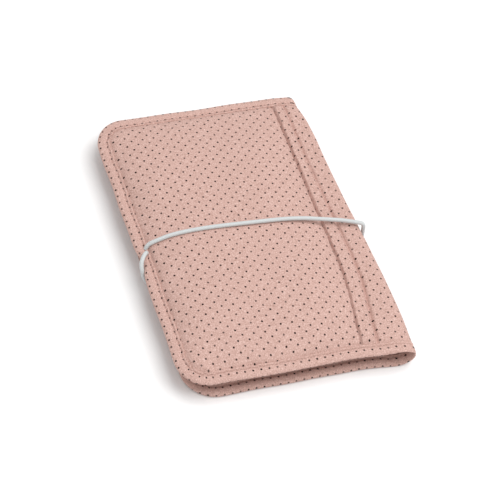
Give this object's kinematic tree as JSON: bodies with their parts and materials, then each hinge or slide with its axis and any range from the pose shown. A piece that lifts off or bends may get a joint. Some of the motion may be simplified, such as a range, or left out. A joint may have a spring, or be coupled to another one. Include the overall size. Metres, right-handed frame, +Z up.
{
  "type": "folding changing pad",
  "caption": "Padded cloth changing pad that folds like a book: bound round-cornered covers, a soft padded spine and a round elastic loop that holds it shut.",
  "frame": {"origin": "middle of the folded pad's footprint, on the surface that it lies on", "axes": "+X from the fore edge to the spine, +Y along the fold to the head end, +Z up through the two covers"},
  "size_m": [0.2601, 0.35, 0.0481],
  "materials": {
    "printed_cotton": "matt dusty rose cotton with small dark dots",
    "lining_cotton": "matt dusty rose cotton",
    "waterproof_film": "thin translucent film",
    "wadding": "soft polyester wadding",
    "thread": "polyester sewing thread",
    "elastic": "smooth braided cover with a soft sheen"
  },
  "bodies": {
    "back_cover": {"back_outer_fabric": "printed_cotton", "back_lining": "lining_cotton", "back_waterproof_film": "waterproof_film", "back_wadding": "wadding", "back_binding": "printed_cotton", "back_binding_thread": "thread", "back_quilting_thread": "thread"},
    "spine": {"spine_outer_fabric": "printed_cotton", "spine_lining": "lining_cotton", "spine_waterproof_film": "waterproof_film", "spine_wadding": "wadding", "spine_binding_head": "printed_cotton", "spine_binding_foot": "printed_cotton"},
    "front_cover": {"front_outer_fabric": "printed_cotton", "front_lining": "lining_cotton", "front_waterproof_film": "waterproof_film", "front_wadding": "wadding", "front_binding": "printed_cotton", "front_binding_thread": "thread", "front_quilting_thread": "thread", "elastic_bar_tack": "thread"},
    "elastic": {"elastic_cord": "elastic"}
  },
  "joints": [
    {"name": "spine_fold", "type": "hinge", "parent": "back_cover", "child": "spine", "pos_m": [0.11475, 0, 0.01025], "axis": [0, 1, 0], "range_deg": [0, 90]},
    {"name": "cover_fold", "type": "hinge", "parent": "spine", "child": "front_cover", "pos_m": [0.11475, 0, 0.03295], "axis": [0, 1, 0], "range_deg": [0, 90]},
    {"name": "elastic_swing", "type": "hinge", "parent": "front_cover", "child": "elastic", "pos_m": [-0.1164, -0.00075, 0.0321], "axis": [0, 0, -1], "range_deg": [0, 180], "deforming": ["elastic_cord"]}
  ],
  "couplings": [
    {"joint": "cover_fold", "follows": "spine_fold", "ratio": 1}
  ]
}
